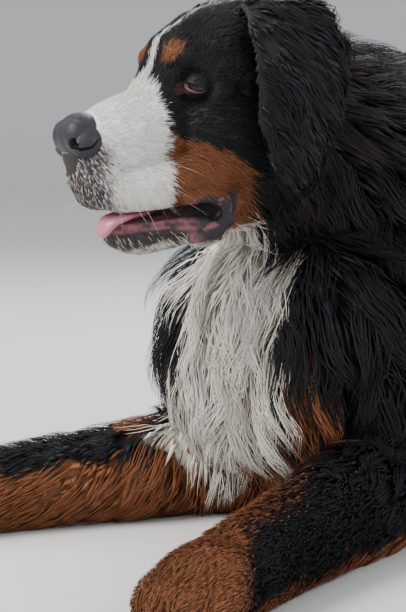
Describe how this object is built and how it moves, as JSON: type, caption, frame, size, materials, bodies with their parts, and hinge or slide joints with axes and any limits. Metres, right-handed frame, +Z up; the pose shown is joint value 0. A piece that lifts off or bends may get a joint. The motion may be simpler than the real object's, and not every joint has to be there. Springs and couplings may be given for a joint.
{
  "type": "bernese mountain dog",
  "caption": "Life-size still model of a long-coated tricolour mountain dog lying down with its forelegs stretched ahead and its head raised.",
  "frame": {"origin": "middle of the flat under the brisket, on the floor", "axes": "-Y is the way the body faces, +X is its left side, +Z is up; the body and tail run along Y"},
  "size_m": [0.6681, 1.3538, 0.4878],
  "materials": {
    "coat": "long glossy hair, black with rust and white markings",
    "nose_leather": "moist pebbled nose leather",
    "tongue": "wet pink tongue",
    "eye": "wet dark brown eye"
  },
  "bodies": {
    "root": {"head": "coat", "neck": "coat", "chest": "coat", "hindquarters": "coat", "foreleg_left": "coat", "foreleg_right": "coat", "forepaw_left": "coat", "forepaw_right": "coat", "hind_leg_left": "coat", "hind_leg_right": "coat", "tail_root": "coat", "tail_tip": "coat", "ear_left": "coat", "ear_right": "coat", "nose": "nose_leather", "tongue": "tongue", "eye_left": "eye", "eye_right": "eye"}
  },
  "joints": []
}
